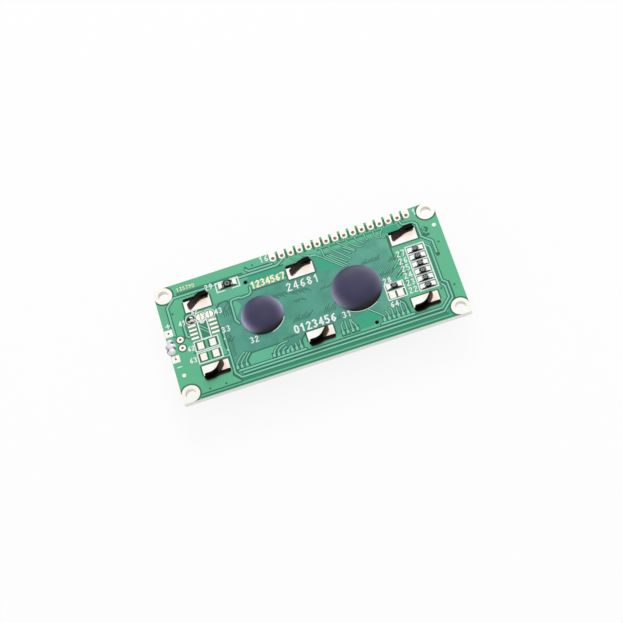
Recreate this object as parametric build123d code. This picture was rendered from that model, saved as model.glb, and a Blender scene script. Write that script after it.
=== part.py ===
from build123d import *
import os
from math import asin, atan2, cos, radians, sin

# Character display module, lying on the face of its bezel, as it is shown.
# Frame: x along the board, y towards the header edge, z out of the back of the board.
# Origin: the middle of the corner-hole pattern, on the plane of the bezel's face. Millimetres.

# Board
board_length = 80.0
board_width = 36.0
board_thickness = 1.6
board_corner_radius = 0.5
corner_hole_inset = 2.5
mount_hole_radius = 1.5
corner_land_radius = 2.5
land_thickness = 0.05
barrel_wall = 0.05
tooling_hole_radius = 0.55

# Header lands; the first pin is nearest the right edge
pin_count = 16
pin_pitch = 2.54
first_pin_inset = 7.85
header_hole_radius = 0.5
header_land_width = 1.85
header_inset = 1.85

# Bezel
bezel_depth = 7.0
bezel_length = 71.3
bezel_width = 24.8
bezel_x = 0.15
sheet = 0.5
bezel_bend = 0.9
bezel_corner_radius = 1.2
window_length = 64.5
window_width = 14.5
window_corner_radius = 0.5

# Bezel tabs
tab_end_gap = 3.0
tab_length = 6.7
tab_height = 1.75
tab_neck = 1.4
tab_bend_radius = 3.5
tab_corner = 0.6
tab_lift = 0.06
tab_root_drop = 0.1
slot_end_gap = 0.35
slot_side_gap = 0.25
upper_swings = [36.0, 29.0, 21.0]
lower_swings = [52.0, 49.0, 53.0]
tab_land_length = 7.35
upper_land_depth = 3.4
lower_land_depth = 2.85

# Display cell
glass_gap = 0.3
glass_thickness = 1.1
contact_ledge = 2.4
seal_width = 1.2
seal_thickness = 0.05
polariser_thickness = 0.2
polariser_overlap = 1.2
polariser_end_inset = 1.4
polariser_side_inset = 0.75
fill_port = 3.0

# Contact strips
strip_thickness = 2.0
strip_end_gap = 2.85
strip_gap = 0.2

# Backlight
film_thickness = 0.1
case_wall = 0.8
case_floor = 0.6
case_end_gap = 0.6
case_side_gap = 0.15
light_gap = 0.1
tongue_inset = 0.2
tongue_width = 13.0
tongue_roof = 0.5
tongue_end_wall = 0.6
tongue_y = -0.25
tongue_gap = 0.25
led_board_thickness = 0.8
led_board_gap = 0.1
led_width = 3.0
led_height = 1.4
led_depth = 1.0
led_spacing = 6.0
led_light_gap = 0.15

# Backlight leads
lead_pitch = 8.1
lead_side = 0.5
lead_gap = 0.1
lead_hole_radius = 0.45
lead_stand = 0.25
lead_land_size = 2.2
lead_solder_radius = 0.8
lead_solder_height = 0.16

# Other lands; an inset is measured in from the left or the right edge of the board
round_land_inset = 3.7
round_land_ys = [1.0, -1.6]
round_land_radius = 0.95
round_hole_radius = 0.35
left_mark_inset = 2.1
left_mark_y = -9.7
right_mark_inset = 1.6
right_mark_y = 10.6
mark_radius = 0.55
jumper_y = 5.8
jumper_insets = [8.0, 10.6, 13.1]
jumper_radius = 1.15
jumper_split = 0.25
jumper_solder_height = 0.75
chip_place_inset = 10.6
chip_place_y = 1.95
chip_land_spacing = 5.8
chip_land_length = 2.2
chip_land_width = 0.65
chip_land_pitch = 1.27
chip_legs_a_side = 4
capacitor_inset = 10.25
capacitor_ys = [-2.65, -6.15]
capacitor_spacing = 3.4
dome_capacitor_offset = (9.65, -5.4)
dome_capacitor_spacing = 2.25
capacitor_land = (1.7, 2.15)

# Tooling holes, from the upper left and the lower right corner
upper_tooling_inset = (25.0, 6.3)
lower_tooling_inset = (24.8, 5.6)

# Chip resistors, each with its length, width, metal end, land length and land spacing
column_inset = 8.65
column_top_y = 5.3
column_pitch = 2.34
column_count = 6
dome_resistor_offset = (9.75, -2.9)
edge_resistor_inset = (20.15, 5.0)
small_resistor = (2.0, 1.25, 0.36, 1.45, 2.9)
large_resistor = (3.1, 1.6, 0.5, 1.6, 3.5)
resistor_height = 0.5
land_margin = 0.1
fillet_rise = 0.42
fillet_top = 0.12
fillet_pinch = 0.05

# Bare chips and their epoxy domes: centre x, centre y, dome radius, dome height, chip side
small_dome = (-13.3, 0.5, 6.0, 1.35, 2.6)
large_dome = (13.0, -0.6, 7.1, 1.55, 3.6)
chip_thickness = 0.4
dome_edge_width = 1.25
dome_crown_rise = 0.5

# Glue over the left edge: lumps from the edge of the board's back, x, y, z and radius
glue_y = -0.4
glue_lumps = [
    (0.85, 1.45, -0.15, 1.0),
    (1.05, 0.1, -0.3, 1.2),
    (0.8, -1.45, -0.15, 1.0),
    (0.1, 0.7, -0.85, 0.9),
    (0.1, -0.9, -0.8, 0.9),
    (0.1, -0.1, -1.7, 0.85),
]

board_front = bezel_depth
board_back = board_front + board_thickness
land_top = board_back + land_thickness
left_edge = -board_length / 2
right_edge = board_length / 2
upper_edge = board_width / 2
sides = [1, -1]


def block(x0, x1, y0, y1, z0, z1):
    """A box between two opposite corners."""
    size = Box(x1 - x0, y1 - y0, z1 - z0)
    return Pos((x0 + x1) / 2, (y0 + y1) / 2, (z0 + z1) / 2) * size


def plate(outline, z0, z1):
    """An outline drawn on the board plane, raised from z0 to z1."""
    return extrude(Pos(0, 0, z0) * outline, amount=z1 - z0, dir=(0, 0, 1))


def at(places, outline):
    """Copies of an outline at several places."""
    return [Pos(x, y) * outline for x, y in places]


def save(name, solids):
    """Writes one node, as one solid or as a group of separate ones."""
    group = list(solids) if isinstance(solids, (list, tuple)) else [solids]
    flat = [solid for item in group for solid in item.solids()]
    export_step(flat[0] if len(flat) == 1 else Compound(flat), f"parts/{name}.step")


os.makedirs("parts", exist_ok=True)

hole_x = right_edge - corner_hole_inset
hole_y = upper_edge - corner_hole_inset
corner_holes = [(sx * hole_x, sy * hole_y) for sx in sides for sy in sides]
first_pin_x = right_edge - first_pin_inset
header_y = upper_edge - header_inset
header_pins = [(first_pin_x - i * pin_pitch, header_y) for i in range(pin_count)]
header_drill = header_hole_radius + barrel_wall
round_drill = round_hole_radius + barrel_wall
round_places = [(left_edge + round_land_inset, y) for y in round_land_ys]
tooling_holes = [
    (left_edge + upper_tooling_inset[0], upper_edge - upper_tooling_inset[1]),
    (right_edge - lower_tooling_inset[0], lower_tooling_inset[1] - upper_edge),
]

# The tabs stand on the middle of the long walls' sheet, in three pairs
slot_line = bezel_width / 2 - sheet / 2
tab_pitch = bezel_length / 2 - tab_end_gap - tab_length / 2
tab_xs = [bezel_x + i * tab_pitch for i in (-1, 0, 1)]
slot_length = tab_length + 2 * slot_end_gap
slot_width = sheet + 2 * slot_side_gap
slot_places = [(x, side * slot_line) for x in tab_xs for side in sides]

# The backlight's tongue ends just inside the board's left edge; the leads stand in it
tongue_left = left_edge + tongue_inset
lead_x = tongue_left + tongue_end_wall + led_board_gap + lead_side / 2
lead_places = [(lead_x, tongue_y + side * lead_pitch / 2) for side in sides]


def board_outline():
    """The board's outline with its rounded corners."""
    return RectangleRounded(board_length, board_width, board_corner_radius)


def circuit_board():
    """The drilled and slotted board."""
    outline = board_outline()
    for hole in at(corner_holes, Circle(mount_hole_radius)):
        outline -= hole
    for hole in at(header_pins, Circle(header_drill)):
        outline -= hole
    for hole in at(round_places, Circle(round_drill)):
        outline -= hole
    for hole in at(lead_places, Circle(lead_hole_radius)):
        outline -= hole
    for hole in at(tooling_holes, Circle(tooling_hole_radius)):
        outline -= hole
    for slot in at(slot_places, SlotOverall(slot_length, slot_width)):
        outline -= slot
    return plate(outline, board_front, board_back)


save("circuit_board", circuit_board())


def plated_hole(outline, place, drill, bore, front_land):
    """A plated hole: a land on the board's back, the barrel, and a land on its front or none."""
    front = board_front - (land_thickness if front_land else 0)
    hole = plate(outline, board_back, land_top)
    hole += plate(Pos(*place) * Circle(drill), board_front, board_back)
    if front_land:
        hole += plate(outline, front, board_front)
    return hole - plate(Pos(*place) * Circle(bore), front, land_top)


def header_land(place):
    """One header land, round at its inner end and cut by the edge of the board."""
    x, y = place
    tail = Pos(x, (y + upper_edge) / 2) * Rectangle(header_land_width, upper_edge - y)
    return tail + Pos(x, y) * Circle(header_land_width / 2)


header_solids = []
for place in header_pins:
    header_solids.append(plated_hole(header_land(place), place, header_drill, header_hole_radius, True))
save("header_lands", header_solids)

round_solids = []
for place in round_places:
    outline = Pos(*place) * Circle(round_land_radius)
    round_solids.append(plated_hole(outline, place, round_drill, round_hole_radius, False))
save("round_lands", round_solids)

# Tinned corner lands on both faces, filled out to the board's corner
corner_solids = []
for x, y in corner_holes:
    to_corner = (x + (right_edge if x > 0 else left_edge)) / 2
    to_edge = (y + (upper_edge if y > 0 else -upper_edge)) / 2
    fill = Rectangle(corner_hole_inset, corner_hole_inset)
    land = Pos(x, y) * Circle(corner_land_radius) + Pos(to_corner, to_edge) * fill
    land = (land & board_outline()) - Pos(x, y) * Circle(mount_hole_radius)
    corner_solids.append(plate(land, board_back, land_top))
    corner_solids.append(plate(land, board_front - land_thickness, board_front))
save("corner_lands", corner_solids)

# A tinned land on the inner side of each tab slot
tab_land_solids = []
for x, y in slot_places:
    depth = upper_land_depth if y > 0 else lower_land_depth
    edge = abs(y) - slot_width / 2
    middle = (edge - depth / 2) * (1 if y > 0 else -1)
    land = Pos(x, middle) * Rectangle(tab_land_length, depth)
    tab_land_solids.append(plate(land, board_back, land_top))
save("tab_lands", tab_land_solids)

lead_land_solids = []
for x, y in lead_places:
    land = Pos(x, y) * Rectangle(lead_land_size, lead_land_size)
    land = (land & board_outline()) - Pos(x, y) * Circle(lead_hole_radius)
    lead_land_solids.append(plate(land, board_back, land_top))
save("backlight_lands", lead_land_solids)

marks = [(left_edge + left_mark_inset, left_mark_y), (right_edge - right_mark_inset, right_mark_y)]
mark_solids = [plate(dot, board_back, land_top) for dot in at(marks, Circle(mark_radius))]
save("alignment_marks", mark_solids)

# Three jumper lands, each split by a gap; the first is bridged by a dome of solder
jumper_xs = [left_edge + inset for inset in jumper_insets]
jumper_solids = []
for x in jumper_xs:
    disc = Pos(x, jumper_y) * Circle(jumper_radius)
    gap = Pos(x, jumper_y) * Rectangle(jumper_split, 2 * jumper_radius)
    jumper_solids.append(plate(disc - gap, board_back, land_top))
save("jumper_lands", jumper_solids)


def cap_profile(radius, height):
    """Half of a round cap's section, for turning about z."""
    ball = (radius ** 2 + height ** 2) / (2 * height)
    half_angle = atan2(radius, ball - height) / 2
    middle = (ball * sin(half_angle), 0, ball * cos(half_angle) - (ball - height))
    arc = ThreePointArc((radius, 0, 0), middle, (0, 0, height))
    return make_face([arc, Line((0, 0, height), (0, 0, 0)), Line((0, 0, 0), (radius, 0, 0))])


jumper_cap = revolve(cap_profile(jumper_radius, jumper_solder_height), Axis.Z)
save("jumper_solder", Pos(jumper_xs[0], jumper_y, land_top) * jumper_cap)

# Lands of the empty eight-leg chip place, in two rows of four
chip_land_solids = []
for side in sides:
    for i in range(chip_legs_a_side):
        x = left_edge + chip_place_inset + side * chip_land_spacing / 2
        y = chip_place_y + (i - (chip_legs_a_side - 1) / 2) * chip_land_pitch
        land = Pos(x, y) * Rectangle(chip_land_length, chip_land_width)
        chip_land_solids.append(plate(land, board_back, land_top))
save("chip_place_lands", chip_land_solids)

# Two empty capacitor places at the left, and one beside the large dome
capacitor_solids = []
capacitor_places = [(left_edge + capacitor_inset, y, capacitor_spacing) for y in capacitor_ys]
capacitor_places.append((
    large_dome[0] + dome_capacitor_offset[0], large_dome[1] + dome_capacitor_offset[1],
    dome_capacitor_spacing,
))
for x, y, spacing in capacitor_places:
    for side in sides:
        land = Pos(x + side * spacing / 2, y) * Rectangle(*capacitor_land)
        capacitor_solids.append(plate(land, board_back, land_top))
save("capacitor_place_lands", capacitor_solids)

# Chip resistors: a ceramic body, two metal ends, two lands and two solder fillets each
column_x = right_edge - column_inset
resistors = [(column_x, column_top_y - i * column_pitch, small_resistor) for i in range(column_count)]
resistors.append((
    large_dome[0] + dome_resistor_offset[0], large_dome[1] + dome_resistor_offset[1], small_resistor
))
resistors.append((
    left_edge + edge_resistor_inset[0], upper_edge - edge_resistor_inset[1], large_resistor
))
end_solids = []
fillet_solids = []
resistor_land_solids = []
resistor_top = land_top + resistor_height


def brick(x0, x1, y, width):
    """A box on the lands, as high as a chip resistor and centred on y."""
    return block(min(x0, x1), max(x0, x1), y - width / 2, y + width / 2, land_top, resistor_top)


def solder_fillet(x, y, side, size):
    """Solder that slopes from the outer end of a land up to the metal end of a resistor."""
    length, width, end, land_length, land_spacing = size
    inner = max(length / 2 - end, (land_spacing - land_length) / 2)
    foot_end = (land_spacing + land_length) / 2 - fillet_pinch
    crest_end = length / 2 + fillet_top
    foot_width = width + 2 * land_margin - fillet_pinch
    crest_width = width - 2 * fillet_pinch
    foot = Pos(x + side * (inner + foot_end) / 2, y, land_top) * Rectangle(foot_end - inner, foot_width)
    crest = Pos(x + side * (inner + crest_end) / 2, y, land_top + fillet_rise) * Rectangle(
        crest_end - inner, crest_width
    )
    return loft([foot, crest])


for number, (x, y, size) in enumerate(resistors, 1):
    length, width, end, land_length, land_spacing = size
    half = length / 2
    save(f"resistor_{number}", brick(x - half + end, x + half - end, y, width))
    for side in sides:
        metal = brick(x + side * (half - end), x + side * half, y, width)
        land = Pos(x + side * land_spacing / 2, y) * Rectangle(land_length, width + 2 * land_margin)
        end_solids.append(metal)
        resistor_land_solids.append(plate(land, board_back, land_top))
        fillet_solids.append(solder_fillet(x, y, side, size) - metal)
save("resistor_ends", end_solids)
save("resistor_solder", fillet_solids)
save("resistor_lands", resistor_land_solids)


def dome_profile(radius, height):
    """Half of an epoxy dome's section: a round edge that meets a low crown smoothly."""
    shoulder = radius - dome_edge_width
    ball = (shoulder ** 2 + dome_crown_rise ** 2) / (2 * dome_crown_rise)
    slope = asin(shoulder / ball)
    middle = (ball * sin(slope / 2), 0, height - ball * (1 - cos(slope / 2)))
    crown = ThreePointArc((0, 0, height), middle, (shoulder, 0, height - dome_crown_rise))
    edge = TangentArc(crown @ 1, (radius, 0, 0), tangent=(cos(slope), 0, -sin(slope)))
    return make_face([crown, edge, Line((radius, 0, 0), (0, 0, 0)), Line((0, 0, 0), (0, 0, height))])


for name, (x, y, radius, height, side) in (("small", small_dome), ("large", large_dome)):
    chip = Pos(x, y, board_back + chip_thickness / 2) * Box(side, side, chip_thickness)
    dome = Pos(x, y, board_back) * revolve(dome_profile(radius, height), Axis.Z)
    save(f"{name}_chip", chip)
    save(f"{name}_epoxy_dome", dome - chip)


def bend_point(turn):
    """Where a tab's bend ends, from the end that stands in the slot."""
    return (tab_neck + tab_bend_radius * sin(turn), tab_bend_radius * (1 - cos(turn)))


def swung_tab(side, centre_x, swing):
    """The part of a tab above the board, swung inwards from the end that still stands in its slot."""
    turn = radians(swing)
    straight = tab_length - tab_neck - tab_bend_radius * turn
    held = Line((0, 0), (tab_neck, 0))
    bend = TangentArc(held @ 1, bend_point(turn), tangent=(1, 0))
    free = Line(bend @ 1, bend @ 1 + Vector(straight * cos(turn), straight * sin(turn)))
    strip = plate(trace(held + bend + free, sheet), tab_lift, tab_height)
    ends = [e for e in strip.edges() if abs(e.length - sheet) < 1e-3 and e.center().Z > tab_height - 1e-3]
    strip = Pos(-tab_length / 2, 0) * fillet(ends, tab_corner)
    if side > 0:
        strip = Rot(0, 0, 180) * strip
    return Pos(centre_x, side * slot_line, board_back) * strip


def metal_bezel():
    """The stamped bezel: a tray with a window, its walls, and six tabs that rise through the board."""
    outer = Pos(bezel_x, 0) * RectangleRounded(bezel_length, bezel_width, bezel_corner_radius)
    tray = plate(outer, 0, bezel_depth)
    tray = fillet(tray.faces().sort_by(Axis.Z)[0].edges(), bezel_bend)
    room = Pos(bezel_x, 0) * RectangleRounded(
        bezel_length - 2 * sheet, bezel_width - 2 * sheet, bezel_corner_radius - sheet
    )
    tray -= plate(room, sheet, bezel_depth)
    window = Pos(bezel_x, 0) * RectangleRounded(window_length, window_width, window_corner_radius)
    tray -= plate(window, 0, sheet)
    wall_x = bezel_x - bezel_length / 2
    tongue_room = tongue_width / 2 + tongue_gap
    tray -= block(
        wall_x - sheet, wall_x + 2 * sheet, tongue_y - tongue_room, tongue_y + tongue_room,
        light_front - tongue_gap, bezel_depth,
    )
    for row_side, swings in ((1, upper_swings), (-1, lower_swings)):
        for x, swing in zip(tab_xs, swings):
            near, far = row_side * slot_line - sheet / 2, row_side * slot_line + sheet / 2
            root_top = board_back - tab_root_drop
            held_end = x + row_side * tab_length / 2
            neck = sorted([held_end, held_end - row_side * tab_neck])
            tray += block(x - tab_length / 2, x + tab_length / 2, near, far, bezel_depth, root_top)
            tray += block(*neck, near, far, root_top, board_back + tab_lift)
            tray += swung_tab(row_side, x, swing)
    return tray


# The stack behind the window, from the bezel's face to the board
polariser_front = sheet
front_glass_front = polariser_front + polariser_thickness
front_glass_back = front_glass_front + glass_thickness
rear_glass_front = front_glass_back + seal_thickness
rear_glass_back = rear_glass_front + glass_thickness
diffuser_front = rear_glass_back + polariser_thickness
light_front = diffuser_front + film_thickness
case_floor_front = board_front - case_floor
light_back = case_floor_front - film_thickness

save("metal_bezel", metal_bezel())

glass_length = bezel_length - 2 * sheet - 2 * glass_gap
glass_width = bezel_width - 2 * sheet - 2 * glass_gap
rear_glass_width = glass_width - 2 * contact_ledge
polariser_length = glass_length - 2 * polariser_end_inset


def sheet_of(length, width, z0, z1):
    """A flat rectangular layer centred behind the window."""
    return plate(Pos(bezel_x, 0) * Rectangle(length, width), z0, z1)


save("front_polariser", sheet_of(
    polariser_length, window_width + 2 * polariser_overlap, polariser_front, front_glass_front
))
save("front_glass", sheet_of(glass_length, glass_width, front_glass_front, front_glass_back))
save("rear_glass", sheet_of(glass_length, rear_glass_width, rear_glass_front, rear_glass_back))
save("rear_polariser", sheet_of(
    polariser_length, rear_glass_width - 2 * polariser_side_inset, rear_glass_back, diffuser_front
))

# The edge seal between the glasses, open at the fill port, and the drop that plugs the port
seal_outer = Pos(bezel_x, 0) * Rectangle(glass_length, rear_glass_width)
seal_inner = Pos(bezel_x, 0) * Rectangle(glass_length - 2 * seal_width, rear_glass_width - 2 * seal_width)
port_x = bezel_x + glass_length / 2
port = Pos(port_x - seal_width / 2, 0) * Rectangle(seal_width, fill_port)
save("cell_seal", plate(seal_outer - seal_inner - port, front_glass_back, rear_glass_front))
save("fill_port_plug", plate(port, front_glass_back, rear_glass_front))

# Elastomer strips from the front glass's ledges to the board
strip_inner = rear_glass_width / 2 + strip_gap
strip_length = glass_length - 2 * strip_end_gap
for name, side in (("upper", 1), ("lower", -1)):
    middle = side * (strip_inner + strip_thickness / 2)
    outline = Pos(bezel_x, middle) * Rectangle(strip_length, strip_thickness)
    save(f"{name}_contact_strip", plate(outline, front_glass_back, board_front))

# Backlight: a case with a tongue through the bezel's end wall, where the LEDs are
case_length = bezel_length - 2 * sheet - 2 * case_end_gap
case_width = rear_glass_width - 2 * case_side_gap
case_left = bezel_x - case_length / 2
case_right = bezel_x + case_length / 2
tongue_half = tongue_width / 2
well_left = case_left + case_wall
well_right = case_right - case_wall
well_half = case_width / 2 - case_wall
light_neck_half = tongue_half - case_wall - light_gap
led_board_back = lead_x + lead_side / 2
led_board_front = led_board_back + led_board_thickness
led_front = led_board_front + led_depth
light_neck_left = led_front + led_light_gap
tongue_inner_front = light_front + tongue_roof


def backlight_case():
    """The white moulded case, open towards the display, with a roof over the LEDs."""
    case = block(case_left, case_right, -case_width / 2, case_width / 2, light_front, board_front)
    case += block(
        tongue_left, well_left, tongue_y - tongue_half, tongue_y + tongue_half, light_front, board_front
    )
    case -= block(well_left, well_right, -well_half, well_half, light_front, case_floor_front)
    case -= block(
        tongue_left + tongue_end_wall, well_left,
        tongue_y - tongue_half + case_wall, tongue_y + tongue_half - case_wall,
        tongue_inner_front, case_floor_front,
    )
    for x, y in lead_places:
        hole = lead_side / 2 + lead_gap
        case -= block(x - hole, x + hole, y - hole, y + hole, case_floor_front, board_front)
    return case


def led_room():
    """The space that the LEDs and their board need, as far in as the light guide's neck."""
    return block(
        left_edge, light_neck_left, tongue_y - tongue_half, tongue_y + tongue_half,
        light_front, case_floor_front,
    )


def well_layer(z0, z1):
    """A layer that fills the case's well, with a gap all round."""
    return block(
        well_left + light_gap, well_right - light_gap, -well_half + light_gap, well_half - light_gap,
        z0, z1,
    )


def light_guide():
    """The clear slab that spreads the light, with a neck that reaches the LEDs."""
    neck = block(
        tongue_left, well_left + light_gap,
        tongue_y - light_neck_half, tongue_y + light_neck_half,
        tongue_inner_front + light_gap, light_back,
    )
    return well_layer(light_front, light_back) + neck - led_room()


save("diffuser_film", sheet_of(case_length, case_width, diffuser_front, light_front))
save("backlight_case", backlight_case())
save("light_guide", light_guide())
save("reflector_film", well_layer(light_back, case_floor_front) - led_room())
save("led_board", block(
    led_board_back, led_board_front, tongue_y - light_neck_half, tongue_y + light_neck_half,
    tongue_inner_front, case_floor_front,
))
led_middle = (tongue_inner_front + case_floor_front) / 2
leds = []
for side in sides:
    y = tongue_y + side * led_spacing / 2
    leds.append(block(
        led_board_front, led_front, y - led_width / 2, y + led_width / 2,
        led_middle - led_height / 2, led_middle + led_height / 2,
    ))
save("led_chips", leds)

lead_joint_solids = []
for name, (x, y) in zip(("anode_lead", "cathode_lead"), lead_places):
    half = lead_side / 2
    lead = block(x - half, x + half, y - half, y + half, led_middle, land_top + lead_stand)
    save(name, lead)
    cone = Pos(x, y, land_top) * Cone(
        lead_solder_radius, lead_side, lead_solder_height, align=(Align.CENTER, Align.CENTER, Align.MIN)
    )
    lead_joint_solids.append(cone - lead)
save("lead_solder", lead_joint_solids)


def glue_dab():
    """A lumpy dab of clear glue, from the board's back over its edge to the tongue's end."""
    dab = Part()
    for x, y, z, radius in glue_lumps:
        dab += Pos(left_edge + x, glue_y + y, board_back + z) * Sphere(radius)
    reach = 3 * max(radius for x, y, z, radius in glue_lumps)
    span = 2 * reach
    low, high = glue_y - span, glue_y + span
    dab -= block(left_edge, left_edge + span, low, high, board_front, board_back)
    dab -= block(tongue_left, tongue_left + span, low, high, board_front - span, board_front)
    return dab


save("glue_dab", glue_dab())
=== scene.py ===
import itertools
import math
import bmesh
import bpy
from mathutils import Matrix, Quaternion, Vector, noise


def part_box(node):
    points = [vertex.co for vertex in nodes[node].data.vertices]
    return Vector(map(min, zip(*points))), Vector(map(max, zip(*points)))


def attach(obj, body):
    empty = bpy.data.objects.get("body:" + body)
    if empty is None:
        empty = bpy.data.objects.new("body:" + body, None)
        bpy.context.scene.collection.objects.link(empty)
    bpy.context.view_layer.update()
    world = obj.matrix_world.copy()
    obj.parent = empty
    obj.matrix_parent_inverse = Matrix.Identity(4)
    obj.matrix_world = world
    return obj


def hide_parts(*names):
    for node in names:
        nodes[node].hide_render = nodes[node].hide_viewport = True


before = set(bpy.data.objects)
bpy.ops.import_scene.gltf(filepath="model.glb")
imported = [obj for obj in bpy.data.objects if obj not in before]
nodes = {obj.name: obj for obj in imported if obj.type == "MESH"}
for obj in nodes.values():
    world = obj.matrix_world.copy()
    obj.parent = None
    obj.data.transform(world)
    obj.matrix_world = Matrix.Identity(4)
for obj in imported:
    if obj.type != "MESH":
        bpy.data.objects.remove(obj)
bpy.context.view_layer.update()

# Camera. The photograph looks down on the back of the board from beyond its lower long edge, a little turned.
# Places are in millimetres and angles in degrees; the lens is for a 36 mm sensor.
MM = 0.001
camera_place = Vector((-1.66, -260.0, 477.73))
camera_target = Vector((-0.43, -3.17, 8.6))
camera_roll = -17.8
focal_length = 115.5

scene = bpy.context.scene
camera = bpy.data.objects.new("camera", bpy.data.cameras.new("camera"))
camera.data.lens = focal_length
camera.data.sensor_width = 36.0
camera.data.clip_start = 0.01
camera.location = camera_place * MM
camera.rotation_mode = "QUATERNION"
look = (camera_target - camera_place).to_track_quat("-Z", "Y")
camera.rotation_quaternion = look @ Quaternion((0, 0, 1), math.radians(camera_roll))
scene.collection.objects.link(camera)
scene.camera = camera
scene.view_settings.view_transform = "Standard"


# Floor, world and lamp. A plain white sheet in soft light from all round, with one square lamp beyond
# the header edge. The camera, gloss and glass see the world as white, and darker low down behind the camera.
def colour(hex_value):
    """An sRGB hex colour as linear RGBA."""
    channels = [int(hex_value[i:i + 2], 16) / 255 for i in (1, 3, 5)]
    return tuple(c / 12.92 if c <= 0.04045 else ((c + 0.055) / 1.055) ** 2.4 for c in channels) + (1.0,)


def add_node(tree, kind, inputs=None, **settings):
    """Adds a node with its settings; an input is given a value, a socket, or a node for its first socket."""
    made = tree.nodes.new("ShaderNode" + kind)
    for name, value in settings.items():
        setattr(made, name, value)
    for name, value in (inputs or {}).items():
        if isinstance(value, bpy.types.Node):
            value = value.outputs[0]
        if isinstance(value, bpy.types.NodeSocket):
            tree.links.new(value, made.inputs[name])
        else:
            made.inputs[name].default_value = value
    return made


def new_material(name):
    """An empty node material."""
    material = bpy.data.materials.new(name)
    material.use_nodes = True
    material.node_tree.nodes.clear()
    return material, material.node_tree


def set_surface(tree, inputs, kind="BsdfPrincipled"):
    """Ends a material: its shader with the inputs, joined to the output."""
    add_node(tree, "OutputMaterial", {"Surface": add_node(tree, kind, inputs)})


def make_piece(name, bm, material, slot=None, replaces=()):
    """Turns a bmesh in millimetres into a piece, which rides on the frame if it takes a slot."""
    bmesh.ops.recalc_face_normals(bm, faces=bm.faces)
    bmesh.ops.scale(bm, vec=(MM, MM, MM), verts=bm.verts)
    mesh = bpy.data.meshes.new(name)
    bm.to_mesh(mesh)
    bm.free()
    mesh.materials.append(material)
    made = bpy.data.objects.new(name, mesh)
    scene.collection.objects.link(made)
    if slot:
        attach(made, "root")
    if replaces:
        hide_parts(*replaces)
    return made


floor_half = 1500.0
floor_glow = 0.88
floor_gap = 0.02
world_light = 0.72
low_light = 0.6
lamp_watts = 5.6
lamp_side = 0.75
lamp_place = Vector((0.24, 0.92, 0.66))

# Plain matt paper. The camera sees a part of its white as a glow, which leaves the object's soft shadow on it
paper, tree = new_material("Matt white paper")
ray = add_node(tree, "LightPath")
share = add_node(tree, "Math", {0: ray.outputs["Is Camera Ray"], 1: floor_glow}, operation="MULTIPLY")
lit = add_node(tree, "BsdfDiffuse", {"Color": colour("#FBFBFB")})
glow = add_node(tree, "Emission", {"Color": (1, 1, 1, 1), "Strength": 1.0})
set_surface(tree, {0: share, 1: lit, 2: glow}, "MixShader")
bm = bmesh.new()
bmesh.ops.create_grid(
    bm, x_segments=1, y_segments=1, size=floor_half, matrix=Matrix.Translation((0, 0, -floor_gap))
)
make_piece("floor", bm, paper)

world = bpy.data.worlds.new("studio")
scene.world = world
world.use_nodes = True
tree = world.node_tree
tree.nodes.clear()
ray = add_node(tree, "LightPath")
where = add_node(tree, "TexCoord")
parts = add_node(tree, "SeparateXYZ", {"Vector": where.outputs["Generated"]})
behind = add_node(tree, "Math", {0: parts.outputs["Y"], 1: parts.outputs["Z"]}, operation="ADD")
gloss = add_node(tree, "MapRange", {
    "Value": behind, "From Min": -0.7, "From Max": 0.5, "To Min": low_light, "To Max": 1.0,
}, interpolation_type="SMOOTHSTEP")
shiny = add_node(tree, "Math", {
    0: ray.outputs["Is Glossy Ray"], 1: ray.outputs["Is Transmission Ray"],
}, operation="MAXIMUM")
light = add_node(tree, "Mix", {0: shiny, 2: world_light, 3: gloss}, data_type="FLOAT")
light = add_node(tree, "Mix", {0: ray.outputs["Is Camera Ray"], 2: light, 3: 1.0}, data_type="FLOAT")
sky = add_node(tree, "Background", {"Color": (1, 1, 1, 1), "Strength": light})
add_node(tree, "OutputWorld", {"Surface": sky.outputs["Background"]})

lamp = bpy.data.objects.new("lamp", bpy.data.lights.new("lamp", "AREA"))
lamp.data.shape = "SQUARE"
lamp.data.size = lamp_side
lamp.data.energy = lamp_watts
lamp.location = lamp_place
lamp.rotation_mode = "QUATERNION"
lamp.rotation_quaternion = (-lamp_place).to_track_quat("-Z", "Y")
scene.collection.objects.link(lamp)


# Bezel. One stamping of thin sheet steel, bent into a tray round the display, with a black electrocoat.
# Its six tabs come up through the board and are swung over, which holds the whole stack together.
def paint(material, *names):
    """Gives nodes from the frame their material."""
    for name in names:
        for slot in nodes[name].material_slots:
            slot.material = material


def box_of(name):
    """The lowest and the highest corner of a node from the frame, in millimetres."""
    return [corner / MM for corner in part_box(name)]


def position(tree):
    """Object coordinates, in millimetres."""
    place = add_node(tree, "TexCoord").outputs["Object"]
    return add_node(tree, "VectorMath", {0: place, "Scale": 1 / MM}, operation="SCALE")


def grain(tree, size, detail=2.0, stretch=(1, 1, 1)):
    """Noise whose cells are about so many millimetres across."""
    moved = add_node(tree, "Mapping", {"Vector": position(tree), "Scale": stretch})
    return add_node(tree, "TexNoise", {"Vector": moved, "Scale": 1 / size, "Detail": detail})


def between(tree, factor, low, high):
    """A factor from 0 to 1 spread between two numbers."""
    return add_node(tree, "MapRange", {"Value": factor, "To Min": low, "To Max": high})


def blend_colours(tree, factor, first, second):
    """Two colours, hex or socket, mixed by a factor."""
    ends = [colour(c) if isinstance(c, str) else c for c in (first, second)]
    mixed = add_node(tree, "Mix", {0: factor, 6: ends[0], 7: ends[1]}, data_type="RGBA")
    return mixed.outputs[2]


def shades(tree, size, first, second):
    """A colour that drifts between two shades over about so many millimetres."""
    return blend_colours(tree, grain(tree, size), first, second)


def bumps(tree, height, depth):
    """Bump of so many millimetres from a height of 0 to 1."""
    return add_node(tree, "Bump", {"Height": height, "Distance": depth * MM})


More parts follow.
